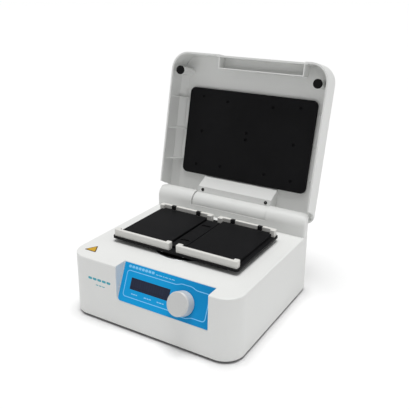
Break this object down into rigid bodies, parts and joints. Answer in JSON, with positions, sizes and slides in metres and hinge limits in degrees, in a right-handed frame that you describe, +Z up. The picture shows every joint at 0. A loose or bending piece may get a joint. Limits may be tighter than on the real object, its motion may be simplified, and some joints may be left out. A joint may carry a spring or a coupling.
{
  "type": "microplate shaker incubator",
  "caption": "Benchtop heated shaker for microplates: white housing with a sloped control panel and knob, an orbiting carriage with plate bays, and a hinged heated lid.",
  "frame": {"origin": "centre of the rest-pose bounding box in plan, at the level of the feet, with the lid open at its stop", "axes": "+Z up, -Y towards the user and the control panel, +X to the right seen from the front"},
  "size_m": [0.3, 0.3628, 0.3863],
  "materials": {
    "housing": "fine-textured moulded plastic, white",
    "pan": "dark grey moulded plastic",
    "rubber": "matte black",
    "screw_black": "black oxide",
    "steel": "machined",
    "aluminium": "satin",
    "black_anodised": "black anodised",
    "bar": "satin warm white coating",
    "clip": "matte black",
    "panel": "satin blue overlay film",
    "lcd": "glossy dark window",
    "knob": "smooth white",
    "black_plastic": "matte black",
    "board": "green lacquered circuit board",
    "brass": "turned",
    "supply": "folded sheet",
    "foam": "felt-like insulation mat",
    "heater_mat": "silicone heater mat",
    "rear_plate": "light grey coated sheet"
  },
  "bodies": {
    "housing": {"base_pan": "pan", "feet": "rubber", "housing_screws": "screw_black", "upper_housing": "housing", "opening_ring": "aluminium", "rear_panel": "rear_plate", "rear_panel_screws": "screw_black", "power_inlet": "black_plastic", "inlet_pins": "brass", "switch_frame": "black_plastic", "panel_overlay": "panel", "display_window": "lcd", "display_module": "black_plastic", "control_board": "board", "board_standoffs": "black_plastic", "encoder_body": "steel", "drive_standoffs": "steel", "drive_plate": "aluminium", "bearing_housing": "aluminium", "drive_bearings": "steel", "motor_body": "screw_black", "drive_belt": "rubber", "idler_blocks": "aluminium", "power_supply": "supply", "driver_board": "board", "hinge_shaft": "steel", "hinge_bushes": "brass"},
    "lid": {"lid_shell": "housing", "lid_heater_plate": "black_anodised", "lid_insulation": "foam", "lid_heater_screws": "screw_black", "lid_bumpers": "rubber", "hinge_cover": "housing", "hinge_cover_screws": "screw_black", "hinge_barrel": "housing", "friction_sleeves": "brass"},
    "spindle": {"eccentric_shaft": "steel", "counterweight": "brass", "driven_pulley": "aluminium"},
    "carriage": {"drive_disc": "black_anodised", "platform_plate": "black_anodised", "channel_cover": "black_anodised", "heater_pads": "heater_mat", "heat_plate_left": "black_anodised", "heat_plate_right": "black_anodised", "front_bar_left": "bar", "front_bar_right": "bar", "rear_bar_left": "bar", "rear_bar_right": "bar", "bar_screws": "steel"},
    "motor_rotor": {"motor_pulley": "aluminium"},
    "idler_left": {"idler_crank_left": "steel"},
    "idler_right": {"idler_crank_right": "steel"},
    "clips_left": {"spring_clips_left": "clip"},
    "clips_right": {"spring_clips_right": "clip"},
    "plunger": {"encoder_plunger": "steel"},
    "knob": {"encoder_shaft": "brass", "knob": "knob"},
    "rocker": {"switch_rocker": "black_plastic"}
  },
  "joints": [
    {"name": "lid_hinge", "type": "hinge", "parent": "housing", "child": "lid", "pos_m": [0, 0.0984, 0.1225], "axis": [1, 0, 0], "range_deg": [0, 102]},
    {"name": "drive_spin", "type": "hinge", "parent": "housing", "child": "spindle", "pos_m": [0, -0.0376, 0.06], "axis": [0, 0, 1], "continuous": true},
    {"name": "carriage_turn", "type": "hinge", "parent": "spindle", "child": "carriage", "pos_m": [0.001, -0.0376, 0.105], "axis": [0, 0, 1], "continuous": true},
    {"name": "motor_spin", "type": "hinge", "parent": "housing", "child": "motor_rotor", "pos_m": [0.072, -0.0376, 0.06], "axis": [0, 0, 1], "continuous": true},
    {"name": "idler_left_spin", "type": "hinge", "parent": "housing", "child": "idler_left", "pos_m": [-0.04, -0.0376, 0.08], "axis": [0, 0, 1], "continuous": true},
    {"name": "idler_right_spin", "type": "hinge", "parent": "housing", "child": "idler_right", "pos_m": [0.04, -0.0376, 0.08], "axis": [0, 0, 1], "continuous": true},
    {"name": "clips_left_slide", "type": "slide", "parent": "carriage", "child": "clips_left", "axis": [0, 1, 0], "range_m": [0, 0.0016], "stiffness_N_per_m": 900, "springref_m": -0.0008},
    {"name": "clips_right_slide", "type": "slide", "parent": "carriage", "child": "clips_right", "axis": [0, 1, 0], "range_m": [0, 0.0016], "stiffness_N_per_m": 900, "springref_m": -0.0008},
    {"name": "knob_push", "type": "slide", "parent": "housing", "child": "plunger", "axis": [0, 0.9181, -0.3964], "range_m": [0, 0.0005], "stiffness_N_per_m": 4000, "springref_m": -0.0006},
    {"name": "knob_turn", "type": "hinge", "parent": "plunger", "child": "knob", "pos_m": [0.06, -0.15762, 0.07323], "axis": [0, -0.9181, 0.3964], "continuous": true},
    {"name": "rocker_tilt", "type": "hinge", "parent": "housing", "child": "rocker", "pos_m": [-0.032, 0.0981, 0.049], "axis": [1, 0, 0], "range_deg": [0, 20]}
  ],
  "couplings": [
    {"joint": "carriage_turn", "follows": "drive_spin", "ratio": -1},
    {"joint": "motor_spin", "follows": "drive_spin", "ratio": 3},
    {"joint": "idler_left_spin", "follows": "drive_spin", "ratio": 1},
    {"joint": "idler_right_spin", "follows": "drive_spin", "ratio": 1}
  ]
}
